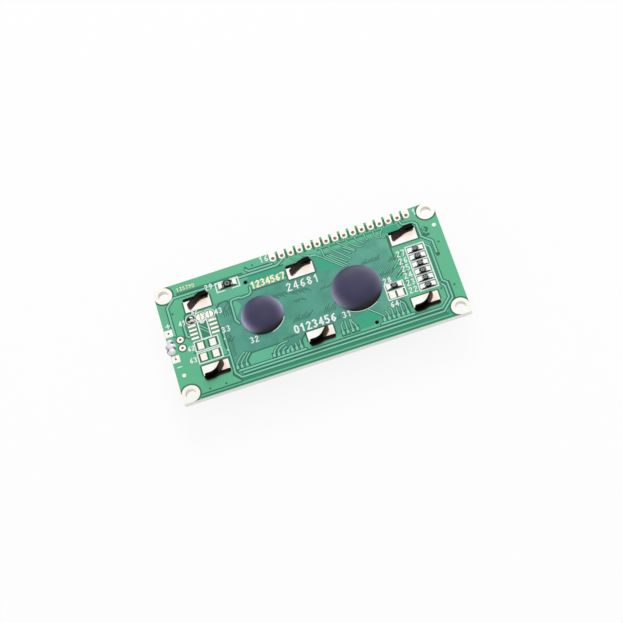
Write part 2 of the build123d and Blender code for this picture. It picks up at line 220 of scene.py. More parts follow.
# Electrocoat is a thin even paint film: satin, nearly black, with the faintest orange peel.
# The tabs are painted darker than the rest of the coat, as painted shade, and their free ends carry
# a rusty brown painted reflection of the bright tin lands beside them.
tab_rise = 1.7
reflection_starts, reflection_is_full = 11.2, 9.2
tab_foot = box_of("metal_bezel")[1].z - tab_rise
electrocoat, tree = new_material("Black electrocoat on steel")
place = add_node(tree, "SeparateXYZ", {"Vector": position(tree)})
across = add_node(tree, "Math", {0: place.outputs["Y"]}, operation="ABSOLUTE")
painted_reflection = add_node(tree, "MapRange", {"Value": across, "From Min": reflection_starts, "From Max": reflection_is_full})
on_tab = add_node(tree, "Math", {0: place.outputs["Z"], 1: tab_foot}, operation="GREATER_THAN")
painted_reflection = add_node(tree, "Math", {0: painted_reflection, 1: on_tab}, operation="MULTIPLY")
sound = shades(tree, 1.6, "#151417", "#201F22")
# The tabs are painted darker than the body, as painted shade
black = blend_colours(tree, on_tab, sound, "#060405")
# A rusty brown painted reflection lies on the tabs' free ends
set_surface(tree, {
    "Base Color": blend_colours(tree, painted_reflection, black, "#523730"),
    "Roughness": between(tree, grain(tree, 0.8), 0.34, 0.48),
    "Specular IOR Level": 0.05,
    "Normal": bumps(tree, grain(tree, 0.35), 0.006),
})
paint(electrocoat, "metal_bezel")

# Display cell. Two panes of float glass with a sealed edge, between two polarising films.
# Behind the window its sixteen columns and two rows of dot cells show faintly when it is off.
# Float glass is perfectly smooth and clear, with a faint green in its depth
float_glass, tree = new_material("Clear float glass")
set_surface(tree, {
    "Base Color": shades(tree, 9.0, "#C9D8C4", "#DDE6DA"),
    "Roughness": 0.02, "IOR": 1.52, "Transmission Weight": 0.9,
})
paint(float_glass, "front_glass", "rear_glass")

# The film is smooth with a slight haze, and gives the display its yellow-green
polariser, tree = new_material("Yellow-green polarising film")
set_surface(tree, {
    "Base Color": shades(tree, 14.0, "#A9B53C", "#B4C04A"),
    "Roughness": between(tree, grain(tree, 0.3), 0.10, 0.16), "IOR": 1.49,
})
paint(polariser, "front_polariser", "rear_polariser")

# Cured epoxy is a dull cream bead
seal, tree = new_material("Cured epoxy seal")
set_surface(tree, {"Base Color": shades(tree, 2.0, "#C9C7B4", "#DAD8CA"), "Roughness": 0.45})
paint(seal, "cell_seal", "fill_port_plug")


def raise_faces(bm, bottom, thickness):
    """Turns flat faces into closed plates that stand on a height."""
    bmesh.ops.translate(bm, verts=bm.verts, vec=(0, 0, bottom))
    made = bmesh.ops.extrude_face_region(bm, geom=list(bm.faces))
    top = [v for v in made["geom"] if isinstance(v, bmesh.types.BMVert)]
    bmesh.ops.translate(bm, verts=top, vec=(0, 0, thickness))


def add_rectangle(bm, x, y, length, width):
    """A flat rectangle centred on a place."""
    place = Matrix.Translation((x, y, 0)) @ Matrix.Diagonal((length / 2, width / 2, 1, 1))
    bmesh.ops.create_grid(bm, x_segments=1, y_segments=1, size=1, matrix=place)


cell_columns, cell_rows = 16, 2
dot_columns, dot_rows = 5, 8
dot_pitch_x, dot_pitch_y = 0.60, 0.70
dot_gap = 0.05
cell_pitch_x, cell_pitch_y = 3.55, 5.95
window_x = 0.15
dot_thickness = 0.01
film_front = box_of("front_polariser")[0].z

bm = bmesh.new()
for column in range(cell_columns):
    for row in range(cell_rows):
        cell_x = window_x + (column - (cell_columns - 1) / 2) * cell_pitch_x
        cell_y = (row - (cell_rows - 1) / 2) * cell_pitch_y
        for i in range(dot_columns):
            for j in range(dot_rows):
                x = cell_x + (i - (dot_columns - 1) / 2) * dot_pitch_x
                y = cell_y + (j - (dot_rows - 1) / 2) * dot_pitch_y
                add_rectangle(bm, x, y, dot_pitch_x - dot_gap, dot_pitch_y - dot_gap)
raise_faces(bm, film_front - dot_thickness, dot_thickness)
# The dots are clear electrodes, a shade darker than the film round them
dots, tree = new_material("Dots of the switched-off display")
set_surface(tree, {"Base Color": shades(tree, 14.0, "#7E8B2A", "#8B9833"), "Roughness": 0.14, "IOR": 1.49})
make_piece("display_dots", bm, dots, "polariser_film")

# Contact strips. Silicone rubber with a striped core of carbon and clear layers, squeezed between
# the front pane's ledges and the board, where they carry the signals.
strip_pitch = 0.18
rubber, tree = new_material("Layered silicone contact strip")
along = add_node(tree, "SeparateXYZ", {"Vector": position(tree)})
turns_per_mm = 2 * math.pi / strip_pitch
layers = add_node(tree, "Math", {0: along.outputs["X"], 1: turns_per_mm}, operation="MULTIPLY")
layers = add_node(tree, "Math", {0: layers}, operation="SINE")
set_surface(tree, {
    "Base Color": blend_colours(tree, between(tree, layers, 0.0, 0.35), "#D88BA0", "#5A4550"),
    "Roughness": 0.6,
})
paint(rubber, "upper_contact_strip", "lower_contact_strip")

# Backlight. A white moulded case with a tongue out past the bezel's end, where two LEDs on a small
# board shine into a clear acrylic slab. White films behind and before it spread the light.
# Moulded polycarbonate has a fine dull grain, and light runs a little way into it
white_plastic, tree = new_material("White moulded polycarbonate")
set_surface(tree, {
    "Base Color": shades(tree, 5.0, "#E4E3DC", "#EFEEE9"),
    "Roughness": between(tree, grain(tree, 0.5), 0.38, 0.50),
    "Subsurface Weight": 0.15, "Subsurface Scale": 0.6 * MM,
    "Normal": bumps(tree, grain(tree, 0.25), 0.01),
})
paint(white_plastic, "backlight_case")

# The film is smooth and evenly white
white_film, tree = new_material("White polyester film")
set_surface(tree, {"Base Color": shades(tree, 8.0, "#E9E9E6", "#F3F3F1"), "Roughness": 0.35})
paint(white_film, "diffuser_film", "reflector_film")

# Acrylic is nearly as clear as the glass, and a little softer to look at
acrylic, tree = new_material("Clear moulded acrylic")
set_surface(tree, {
    "Base Color": shades(tree, 12.0, "#E8EFEA", "#F4F8F5"),
    "Roughness": 0.08, "IOR": 1.49, "Transmission Weight": 0.85,
})
paint(acrylic, "light_guide")

# Without a mask the laminate is an olive tan, mottled by the cloth in it
bare_laminate, tree = new_material("Bare glass-fibre laminate")
set_surface(tree, {"Base Color": shades(tree, 0.9, "#A9A67C", "#BDB994"), "Roughness": 0.5})
paint(bare_laminate, "led_board")

# The phosphor in the resin is a strong yellow
led_resin, tree = new_material("Phosphor-tinted silicone resin")
set_surface(tree, {"Base Color": shades(tree, 1.0, "#E6D258", "#EFE08A"), "Roughness": 0.3})
paint(led_resin, "led_chips")

# Circuit board. Glass-fibre laminate under a glossy green solder mask, routed to its outline and drilled.
# Light where the mask lies over copper, with the pale laminate bare on its edges and in its holes.
board_low, board_high = box_of("circuit_board")
board_top = board_high.z
copper_green = "#53B88A"
centre_green = "#419683"
field_half_length = 25.0
field_half_width = 12.8
field_centre = 0.2
fine_green = "#1F7D68"
fine_pitch = 0.55
weave_size = 0.42
corner_x, corner_y = 37.5, 15.5
plated_reach = 1.7
outer_x, outer_y = 35.5, 17.3


def flat_faces(tree):
    """A factor of 1 on faces that look up or down, and of 0 on the sides."""
    normal = add_node(tree, "NewGeometry").outputs["Normal"]
    facing = add_node(tree, "SeparateXYZ", {"Vector": normal}).outputs["Z"]
    upright = add_node(tree, "Math", {0: facing}, operation="ABSOLUTE")
    return add_node(tree, "Math", {0: upright, 1: 0.5}, operation="GREATER_THAN")


def mask_material(name, first, second, relief):
    """Glossy lacquer over one layer, with slow changes of shade and the weave's faint relief."""
    material, tree = new_material(name)
    set_surface(tree, {
        "Base Color": shades(tree, 7.0, first, second),
        "Roughness": between(tree, grain(tree, 0.5), 0.16, 0.30),
        "Coat Weight": 0.25, "Coat Roughness": 0.08,
        "Normal": bumps(tree, grain(tree, weave_size, 1.0), relief),
    })
    return material


# The mask is printed lacquer: glossy, a little uneven, and it shows what lies beneath it.
mask, tree = new_material("Green solder mask on glass-fibre laminate")
flat = flat_faces(tree)
field = add_node(tree, "Mapping", {
    "Vector": position(tree), "Location": (0, field_centre / -field_half_width, 0),
    "Scale": (1 / field_half_length, 1 / field_half_width, 0),
})
field = add_node(tree, "VectorMath", {0: field}, operation="ABSOLUTE")
field = add_node(tree, "SeparateXYZ", {"Vector": field})
spot = add_node(tree, "Math", {0: field.outputs["X"], 1: field.outputs["Y"]}, operation="MAXIMUM")
middle = add_node(tree, "MapRange", {"Value": spot, "From Min": 0.96, "From Max": 1.02})
# The middle is paler towards the header's first land
along = add_node(tree, "SeparateXYZ", {"Vector": position(tree)})
paler = add_node(tree, "MapRange", {
    "Value": along.outputs["X"], "From Min": 8.0, "From Max": 24.0, "To Max": 0.4,
})
pale_centre = blend_colours(tree, paler, centre_green, "#6DBBA4")
green = blend_colours(tree, middle, pale_centre, copper_green)
# Most of the middle is fine tracks on the slant, drawn a little coarser than they are so that they show
slanted = add_node(tree, "VectorRotate", {
    "Vector": position(tree), "Angle": math.radians(45),
}, rotation_type="Z_AXIS")
fine = add_node(tree, "TexWave", {
    "Vector": slanted, "Scale": 2 * math.pi / (20 * fine_pitch), "Distortion": 0.6, "Detail": 1.0,
})
share = add_node(tree, "MapRange", {
    "Value": grain(tree, 6.0, 1.0), "From Min": 0.40, "From Max": 0.55, "To Max": 0.8,
})
share = add_node(tree, "Math", {0: share, 1: fine.outputs["Fac"]}, operation="MULTIPLY")
inside = add_node(tree, "Math", {0: 1.0, 1: middle}, operation="SUBTRACT")
share = add_node(tree, "Math", {0: share, 1: inside}, operation="MULTIPLY")
green = blend_colours(tree, share, green, fine_green)
speckle = add_node(tree, "MapRange", {"Value": grain(tree, 2.5), "From Min": 0.35, "From Max": 0.75})
green = blend_colours(tree, between(tree, speckle, 0.0, 0.25), green, "#63C094")
# The outer edges are pale laminate, and the corner holes plated. The walls of the slots and drilled
# holes are the same laminate painted dark, as painted shade
edge = add_node(tree, "VectorMath", {0: position(tree)}, operation="ABSOLUTE")
sides = add_node(tree, "SeparateXYZ", {"Vector": edge})
end = add_node(tree, "Math", {0: sides.outputs["X"], 1: outer_x}, operation="GREATER_THAN")
side = add_node(tree, "Math", {0: sides.outputs["Y"], 1: outer_y}, operation="GREATER_THAN")
outer = add_node(tree, "Math", {0: end, 1: side}, operation="MAXIMUM")
pale = blend_colours(tree, grain(tree, 0.5, stretch=(0.3, 0.3, 3.0)), "#EFEEE6", "#FDFCF8")
# The walls inside the board are painted dark, as painted shade
walls = blend_colours(tree, outer, "#37352A", pale)
corner = add_node(tree, "VectorMath", {0: edge, 1: (corner_x, corner_y, 0)}, operation="SUBTRACT")
corner = add_node(tree, "VectorMath", {0: corner, 1: (1, 1, 0)}, operation="MULTIPLY")
plated = add_node(tree, "VectorMath", {0: corner}, operation="LENGTH").outputs["Value"]
plated = add_node(tree, "Math", {0: plated, 1: plated_reach}, operation="LESS_THAN")
walls = blend_colours(tree, plated, walls, "#FAF8F0")
set_surface(tree, {
    "Base Color": blend_colours(tree, flat, walls, green),
    "Roughness": between(tree, flat, 0.6, 0.22),
    "Coat Weight": 0.2, "Coat Roughness": 0.08,
    "Normal": bumps(tree, grain(tree, weave_size, 1.0), 0.008),
})
paint(mask, "circuit_board")

# The same lacquer looks darkest over bare laminate, and lightest over copper
mask_on_gap = mask_material("Solder mask over etched gaps", "#085C42", "#0F6B4F", 0.008)
mask_on_track = mask_material("Solder mask over copper tracks", "#71CCAD", "#7AD2B4", 0.006)
mask_on_pour = mask_material("Solder mask over smooth copper", "#129E78", "#1BA580", 0.006)
mask_on_band = mask_material("Solder mask over bare laminate", "#077C55", "#11876A", 0.008)
mask_on_light = mask_material("Solder mask over flooded copper", "#58BC96", "#4EB389", 0.006)


# Copper under the mask. Etched tracks and floods of copper, each with a dark gap round it where only
# laminate lies under the lacquer. The layers stand a few hundredths of a millimetre above the board.
order = itertools.count()
layer_step = 0.0003
layer_steps = 23
sunk = 0.004
pour_top, light_top, gap_top, fan_top, track_top = 0.007, 0.014, 0.021, 0.028, 0.040


def next_top(top):
    """The height of the next plate of a layer, so that plates that cross don't share a face."""
    return top - layer_step * (next(order) % layer_steps)


def add_bar(bm, start, end, width, top):
    """A straight bar on the board from one place to another."""
    top = next_top(top)
    run = Vector(end) - Vector(start)
    middle = (Vector(start) + Vector(end)) / 2
    place = Matrix.Translation((middle.x, middle.y, board_top + (top - sunk) / 2))
    turn = Matrix.Rotation(math.atan2(run.y, run.x), 4, "Z")
    size = Matrix.Diagonal((run.length, width, top + sunk, 1))
    bmesh.ops.create_cube(bm, size=1, matrix=place @ turn @ size)


def add_disc(bm, x, y, radius, top, segments=16):
    """A round plate on the board."""
    top = next_top(top)
    place = Matrix.Translation((x, y, board_top + (top - sunk) / 2))
    bmesh.ops.create_cone(
        bm, cap_ends=True, segments=segments, radius1=radius, radius2=radius, depth=top + sunk, matrix=place
    )


def add_line(bm, points, width, top):
    """Bars through a row of places, with a round plate at each turn and end."""
    for start, end in zip(points, points[1:]):
        add_bar(bm, start, end, width, top)
    for x, y in points:
        add_disc(bm, x, y, width / 2, top, 10)


def add_plate(bm, outline, top):
    """A flat plate on the board with straight sides."""
    top = next_top(top)
    face = bm.faces.new([bm.verts.new((x, y, board_top - sunk)) for x, y in outline])
    lifted = bmesh.ops.extrude_face_region(bm, geom=[face], use_keep_orig=True)
    tops = [v for v in lifted["geom"] if isinstance(v, bmesh.types.BMVert)]
    bmesh.ops.translate(bm, verts=tops, vec=(0, 0, top + sunk))


def add_ring(bm, x, y, inner, outer, top, segments=40):
    """A flat ring on the board."""
    top = next_top(top)
    corners = [(inner, -sunk), (outer, -sunk), (outer, top), (inner, top)]
    verts = [bm.verts.new((x + r, y, board_top + z)) for r, z in corners]
    edges = [bm.edges.new((verts[i], verts[i - 1])) for i in range(4)]
    bmesh.ops.spin(
        bm, geom=verts + edges, cent=(x, y, 0), axis=(0, 0, 1), angle=2 * math.pi, steps=segments,
        use_merge=True,
    )


gap_width = 0.3
track_width = 0.46

gaps, pours, lights, bands, tracks = [bmesh.new() for _ in range(5)]


def add_track(points, width=track_width):
    """A copper track with the etched gap on both sides of it, which is narrower beside a thin one."""
    add_line(tracks, points, width, track_top)
    add_line(gaps, points, width + 2 * min(gap_width, 0.65 * width), gap_top)


# Round the corner lands and the tab lands
edge_gap = 0.4
land_length = 7.35
land_low, land_high = box_of("tab_lands")
tab_middle = (land_low.x + land_high.x) / 2
tab_pitch = (land_high.x - land_low.x - land_length) / 2
tab_places = [tab_middle + i * tab_pitch for i in (-1, 0, 1)]
slot_side = land_high.y
gap_reach = 3.9
for x in (-corner_x, corner_x):
    for y in (-corner_y, corner_y):
        add_ring(gaps, x, y, 2.45, 2.95, gap_top)
for x in tab_places:
    for outer_side, inner_side in ((slot_side, 8.05), (-slot_side, -8.6)):
        add_bar(gaps, (x - gap_reach, inner_side), (x + gap_reach, inner_side), edge_gap, gap_top)
        for side in (-gap_reach, gap_reach):
            add_bar(gaps, (x + side, inner_side), (x + side, outer_side), edge_gap, gap_top)

# Long runs by the edges
add_track([(-37.4, 2.7), (-37.4, 11.5), (-35.1, 13.9), (-14.0, 13.8), (-5.6, 13.8), (-3.6, 15.0)], 0.55)
add_track([(-24.6, 0.6), (-24.6, -13.8), (-23.2, -15.5), (33.0, -15.5), (36.4, -12.2), (36.4, -7.4),
           (35.3, -6.4), (35.3, 4.6), (34.3, 5.6)])
add_track([(-22.5, -14.4), (32.9, -14.3), (35.5, -11.8), (35.5, -8.2), (34.8, -7.4)])
add_track([(-23.4, -13.5), (-4.8, -13.4)], 0.5)
add_track([(16.3, -13.35), (25.4, -13.35)], 0.5)
add_track([(29.8, 14.8), (30.3, 13.7), (33.1, 13.5), (34.0, 12.6), (34.05, 8.4), (36.5, 6.1),
           (36.55, 2.4)], 0.5)
add_disc(gaps, 36.7, 1.7, 0.6, gap_top)
for line in (
    [(-34.9, -16.7), (-23.5, -16.7)], [(-35.0, -17.55), (36.0, -17.55)],
    [(-25.2, -13.4), (-25.2, -14.2), (-23.3, -16.4)], [(36.9, -7.2), (36.9, -12.6)],
    [(-34.8, 5.0), (-34.8, 0.9)], [(-33.7, 4.9), (-33.6, 7.3), (-33.2, 7.9), (-31.0, 7.9)],
    [(-25.2, 5.0), (-25.2, 0.0)], [(-25.2, -0.5), (-25.2, -5.6)],
    [(-24.9, 6.5), (-23.6, 7.8), (-22.9, 8.1), (-21.4, 8.1), (-20.9, 7.4), (-20.9, 1.6)],
    [(-14.0, 8.6), (-5.0, 8.6)], [(-14.0, 13.35), (-4.0, 13.35)], [(-13.2, 15.2), (-7.6, 15.2)],
    [(-21.5, -13.95), (33.0, -13.9)], [(-22.0, -14.95), (33.2, -14.9)], [(25.2, 4.0), (25.2, 12.0)],
    [(-13.4, 15.5), (-14.0, 16.3)], [(-5.2, -12.6), (-5.2, -10.4), (-3.7, -8.9)],
    [(24.6, -12.6), (24.2, -9.5), (23.2, -8.0)], [(7.2, 12.1), (8.8, 12.2), (13.0, 8.0)],
    [(-20.3, -12.8), (-20.6, -11.3), (-19.0, -9.4), (-9.0, -9.3)],
):
    add_line(gaps, line, edge_gap, gap_top)
# Bands of bare laminate, and the hook of a thick gap near the right end
add_bar(bands, (-23.3, -16.35), (34.0, -16.35), 0.9, gap_top)
add_bar(bands, (34.65, 5.0), (34.65, -6.5), 0.7, gap_top)
add_bar(bands, (6.0, 14.3), (24.3, 14.3), 0.5, gap_top)
add_bar(bands, (-29.3, 4.3), (-29.3, -0.7), 2.3, gap_top)
add_bar(bands, (-34.0, 14.7), (-15.0, 14.6), 0.9, gap_top)
add_line(gaps, [(34.9, 10.5), (35.6, 10.9), (36.3, 10.3), (36.0, 9.7), (35.2, 9.4), (34.9, 8.8), (35.4, 8.2),
                (36.3, 8.4)], 0.6, gap_top)
add_track([(-14.0, 15.5), (-13.3, 14.75), (-6.6, 14.7)])
add_track([(-34.35, 5.0), (-34.3, 1.4), (-33.7, 0.8)], 0.5)
add_track([(-19.8, 0.3), (-20.5, 1.5), (-20.4, 7.3), (-20.0, 7.8), (-18.0, 7.9), (-17.2, 7.5), (-15.2, 7.7),
           (-14.4, 8.3), (-14.3, 10.0)])
add_track([(-26.3, -8.0), (-24.8, -8.0)])

# From the header lands to the large dome
for line in (
    [(-1.1, 14.8), (-0.9, 14.2), (0.1, 13.3), (5.1, 13.1), (6.3, 12.2), (11.6, 6.9)],
    [(1.5, 14.9), (2.1, 14.0), (3.0, 13.7), (5.4, 13.2)],
    [(6.8, 14.8), (7.3, 14.1), (7.5, 11.8), (12.4, 6.8)],
    [(9.3, 14.8), (9.9, 13.2), (13.0, 9.9), (14.2, 8.6)], [(11.8, 14.8), (13.0, 13.5), (15.9, 10.9)],
    [(14.4, 14.8), (14.5, 14.1), (16.3, 12.1), (17.7, 11.1)],
    [(17.0, 14.8), (17.0, 14.0), (17.5, 13.2), (18.9, 11.9)], [(19.6, 14.8), (19.6, 13.2), (20.1, 12.5)],
    [(22.1, 14.8), (22.1, 13.3), (22.7, 12.4), (23.3, 11.9)],
    [(24.8, 14.8), (24.7, 14.2), (23.9, 13.4), (23.7, 12.2), (24.5, 11.5)],
    [(8.2, 11.9), (13.0, 7.1)], [(8.9, 11.9), (13.0, 8.2)], [(13.0, 12.8), (15.8, 10.4)],
    [(13.0, 11.7), (14.6, 10.3)], [(26.3, 3.6), (24.4, 1.7)], [(26.3, 1.2), (25.0, 0.0)],
    [(25.8, -0.3), (24.3, -1.5)], [(35.0, 10.3), (35.5, 10.9)], [(35.1, 9.6), (35.8, 8.9)],
    [(34.2, 6.6), (35.6, 5.2)], [(-30.3, 2.5), (-28.3, 0.5)], [(-30.3, 3.5), (-28.3, 1.5)],
):
    add_track(line, 0.28)

# From the display's contacts, a comb along the lower edge
comb_y = -12.4
comb_land = 0.7
comb_length = 1.0
for x, *places in (
    (-23.6, (-23.6, -11.2), (-21.6, -9.0), (-20.7, -8.6)),
    (-22.4, (-22.3, -11.2), (-20.6, -9.4), (-20.1, -8.9)),
    (-21.0, (-21.0, -11.3), (-20.7, -10.6), (-19.4, -9.2)),
    (-13.4, (-12.9, -10.9), (-11.6, -9.8), (-10.6, -9.5), (-9.0, -9.4)),
    (-12.15, (-12.0, -11.3), (-11.0, -10.5), (-9.8, -10.1)),
    (-10.9, (-10.6, -11.4), (-9.6, -11.0)), (-9.6, (-8.6, -11.2)), (-8.4, (-8.3, -11.2)),
    (-7.1, (-7.1, -10.8)), (-5.8, (-5.8, -10.2)), (5.9, (5.9, -9.9), (6.6, -9.1)), (7.15, (7.2, -9.0)),
    (8.55, (8.5, -9.0)), (9.8, (9.6, -11.0), (9.0, -10.0), (8.9, -9.2)),
    (17.4, (17.5, -11.3), (16.7, -10.3), (14.0, -7.7)), (18.7, (18.7, -10.9), (18.3, -10.0)),
    (20.0, (20.0, -10.0), (19.4, -9.3)), (21.3, (21.3, -9.8)),
    (22.6, (22.6, -9.5), (22.9, -8.6)), (23.9, (23.8, -9.6), (22.9, -8.4)),
):
    add_track([(x, comb_y), *places], 0.32)
    add_bar(tracks, (x, comb_y - comb_length / 2), (x, comb_y + comb_length / 2), comb_land, track_top)
    add_bar(gaps, (x, comb_y - comb_length), (x, comb_y + comb_length), comb_land + 0.5, gap_top)

# Fine parallel tracks that fan out of the domes on the slant
fan_pitch = 0.6
fan_width = 0.2
for x, y, count, length, slant in (
    (-8.9, 4.4, 7, 2.4, -45), (-3.6, 3.7, 8, 2.2, -45), (-3.6, 1.2, 5, 1.5, -45), (4.2, 2.8, 5, 1.5, 45),
    (16.8, 6.3, 9, 2.2, 45), (20.2, 1.1, 7, 1.8, 45), (-5.0, -3.7, 8, 2.8, 45), (3.4, -3.6, 6, 3.0, 60),
    (3.9, -7.2, 5, 1.6, 70), (24.3, 4.9, 6, 2.6, 45), (24.5, 2.3, 6, 2.6, 45), (24.9, -0.4, 5, 2.4, 45),
    (25.6, -3.2, 4, 2.2, 45), (-23.1, 5.0, 4, 3.2, 90), (-24.2, -3.4, 4, 2.4, 45), (-9.4, -8.4, 7, 1.2, 30),
):
    direction = Vector((math.cos(math.radians(slant)), math.sin(math.radians(slant))))
    for i in range(count):
        start = Vector((x + i * fan_pitch, y)) - direction * length / 2
        reach = length * (0.7 + 0.3 * math.sin(2.1 * i))
        add_bar(gaps, start, start + direction * reach, fan_width, fan_top)

# A row of short dashes and two rows of dots left of the small dome
dash_pitch = 0.62
dot_step_x, dot_step_y = 0.42, 0.4
for i in range(13):
    y = -1.3 - dash_pitch * i
    add_bar(gaps, (-23.75, y), (-22.75, y + 0.25), fan_width, fan_top)
for i in range(6):
    for x, y in ((-23.3, 5.3), (-22.5, 4.7)):
        add_disc(gaps, x + dot_step_x * i, y + dot_step_y * i, 0.18, fan_top, 8)

# Floods of copper that look smoother and greener than the board's own, or lighter
for outline in (
    [(-14.0, 11.5), (-4.0, 11.5), (-4.0, 13.2), (-14.0, 13.2)],
    [(4.5, 12.9), (5.5, 12.8), (6.6, 12.0), (7.3, 11.9), (11.6, 7.5), (11.3, 7.2), (5.2, 7.4), (4.7, 8.0)],
    [(10.2, -13.0), (10.2, -9.6), (11.4, -8.5), (15.6, -8.5), (16.6, -9.7), (16.6, -11.6), (14.4, -11.6),
     (14.4, -13.0)],
    [(23.4, 12.6), (29.0, 12.6), (29.0, 14.6), (25.2, 14.6), (24.0, 13.6)],
    [(33.5, -17.0), (36.0, -17.0), (36.0, -14.6), (34.8, -13.4)],
):
    add_plate(pours, outline, pour_top)
for outline in (
    [(-14.0, 15.5), (-9.8, 15.5), (-9.8, 17.8), (-14.0, 17.8)],
    [(-19.9, 7.0), (-18.9, 7.2), (-18.2, 6.2), (-17.8, 5.2), (-18.6, 4.2), (-19.4, 3.0), (-19.9, 2.5)],
    [(-20.0, -12.8), (-20.3, -11.3), (-18.8, -9.6), (-10.8, -9.5), (-12.9, -10.7), (-13.9, -12.8)],
    [(-4.9, -13.2), (-4.9, -10.5), (-3.6, -9.2), (-3.6, -13.2)],
    [(-34.8, -17.35), (36.0, -17.35), (36.0, -16.95), (-34.8, -16.95)],
    [(25.6, 5.7), (26.0, 5.7), (26.0, 7.5), (25.6, 7.5)],
    [(-25.0, 8.3), (-15.2, 8.3), (-14.6, 8.9), (-4.0, 8.9), (-4.0, 11.1), (-15.7, 11.1), (-15.7, 13.2),
     (-25.0, 13.2)],
    [(-15.6, 12.4), (-14.1, 12.4), (-14.1, 13.2), (-15.6, 13.2)],
):
    add_plate(lights, outline, light_top)

# Gaps round the small lands. The last resistor is larger than the others
pins, pin_pitch, first_pin = 16, 2.54, 32.15
legs, leg_pitch = 4, 1.27
chip_place_x, chip_place_y, leg_row = -29.4, 1.95, 2.9
half_gap = 1.35
empty_places = (-29.75, -2.65, 1.7), (-29.75, -6.15, 1.7), (22.65, -6.0, 1.125)
resistors = [f"resistor_{i + 1}" for i in range(8)]
jumper_xs, jumper_y = (-32.0, -29.4, -26.9), 5.8
for i in range(pins - 1):
    x = first_pin - (i + 0.5) * pin_pitch
    add_bar(gaps, (x, 14.9), (x, 17.2), 0.58, gap_top)
for i in range(legs):
    for side in (-leg_row, leg_row):
        x, y = chip_place_x + side, chip_place_y + (i - (legs - 1) / 2) * leg_pitch
        add_bar(gaps, (x - half_gap, y), (x + half_gap, y), 1.0, gap_top)
for x, y, reach in empty_places:
    for side in (-reach, reach):
        add_bar(gaps, (x + side - half_gap, y), (x + side + half_gap, y), 2.8, gap_top)
for name in resistors:
    low, high = box_of(name)
    x, y = (low.x + high.x) / 2, (low.y + high.y) / 2
    length, width = (5.4, 2.2) if name == resistors[-1] else (4.65, 1.85)
    add_bar(gaps, (x - length / 2, y), (x + length / 2, y), width, gap_top)
for x in jumper_xs:
    add_ring(gaps, x, jumper_y, 1.15, 1.5, gap_top)
for y in (1.0, -1.6):
    add_ring(gaps, -36.3, y, 0.95, 1.3, gap_top)

# Small plated holes, covered by the mask, each a dark dimple
via_radius = 0.3
for x, y in (
    (-36.4, 9.3), (-32.2, -15.8), (-27.7, -15.8), (-33.5, -4.3), (-11.9, 16.2), (-16.8, -13.3),
    (-22.5, -14.4), (38.0, 5.2), (38.0, -8.7), (-24.6, 0.6), (34.4, -8.6), (-19.8, 0.3), (14.2, 8.6),
    (16.0, 10.8), (18.9, 11.9), (20.1, 12.5), (6.6, -9.1), (-9.0, -9.4), (-19.4, -9.2), (19.4, -9.3),
    (-4.2, 9.9), (24.3, -1.5),
):
    add_disc(gaps, x, y, via_radius, fan_top)

# What runs out past the board's outline is cut off just inside it
trim = 0.02
for side, outward in ((board_low, -1), (board_high, 1)):
    for axis in range(2):
        direction = Vector((0, 0, 0))
        direction[axis] = outward
        cut = bmesh.ops.bisect_plane(
            gaps, geom=gaps.verts[:] + gaps.edges[:] + gaps.faces[:], plane_co=side - direction * trim,
            plane_no=direction, clear_outer=True,
        )
        edges = [e for e in cut["geom_cut"] if isinstance(e, bmesh.types.BMEdge)]
        bmesh.ops.holes_fill(gaps, edges=edges, sides=0)

for name, bm, material in (
    ("etched_gaps", gaps, mask_on_gap), ("smooth_copper", pours, mask_on_pour),
    ("flooded_copper", lights, mask_on_light), ("bare_bands", bands, mask_on_band),
    ("copper_tracks", tracks, mask_on_track),
):
    make_piece(name, bm, material, "solder_mask")

# Lands. Copper left bare by the mask and dipped in tin: bright as a mirror, with a slight ripple in it
# where the tin froze. The tabs above them show in it as black shapes.
tin_shades = "#F4EFE2", "#FBF9F2"
ripple_depth = 0.03


def set_tin(tree, shade, depth=ripple_depth):
    """Dipped tin of a shade, with ripples of a depth in millimetres."""
    set_surface(tree, {
        "Base Color": shade, "Metallic": 1.0, "Roughness": between(tree, grain(tree, 0.6), 0.08, 0.22),
        "Normal": bumps(tree, grain(tree, 1.6, 1.5), depth),
    })


tin, tree = new_material("Hot-dipped tin on copper")
set_tin(tree, shades(tree, 1.2, *tin_shades))
paint(tin, "round_lands", "corner_lands", "backlight_lands", "alignment_marks", "jumper_lands",
      "chip_place_lands", "capacitor_place_lands", "resistor_lands")

# On the tab lands the tin has a tan painted reflection of the tabs, deepest beside the free end of each
# tab. Its middle is a little way along from the land's, and the tan is full up to one distance from there
# and gone at another.
tan_shift, tan_full, tan_none = 1.6, 0.6, 2.7
tan_near, tan_far = 8.4, 10.6
tin_with_painted_reflection, tree = new_material("Hot-dipped tin with a painted tan reflection")
place = add_node(tree, "SeparateXYZ", {"Vector": position(tree)})
local = add_node(tree, "Math", {
    0: place.outputs["X"], 1: tab_middle + tab_pitch / 2, 2: tab_middle - tab_pitch / 2,
}, operation="WRAP")
beside = add_node(tree, "Math", {0: local, 1: tab_middle + tan_shift}, operation="SUBTRACT")
beside = add_node(tree, "Math", {0: beside}, operation="ABSOLUTE")
tan_along = add_node(tree, "MapRange", {
    "Value": beside, "From Min": tan_none, "From Max": tan_full, "To Min": 0.1, "To Max": 1.0,
})
across = add_node(tree, "Math", {0: place.outputs["Y"]}, operation="ABSOLUTE")
tan_across = add_node(tree, "MapRange", {
    "Value": across, "From Min": tan_near, "From Max": tan_far, "To Min": 0.3, "To Max": 1.0,
})
tan_share = add_node(tree, "Math", {0: tan_along, 1: tan_across}, operation="MULTIPLY")
untinted_tin = shades(tree, 1.2, "#F6F5F1", "#FEFDFB")
# The tan is a painted reflection of the tabs
set_tin(tree, blend_colours(tree, tan_share, untinted_tin, "#F0DECA"), 0.008)
paint(tin_with_painted_reflection, "tab_lands")
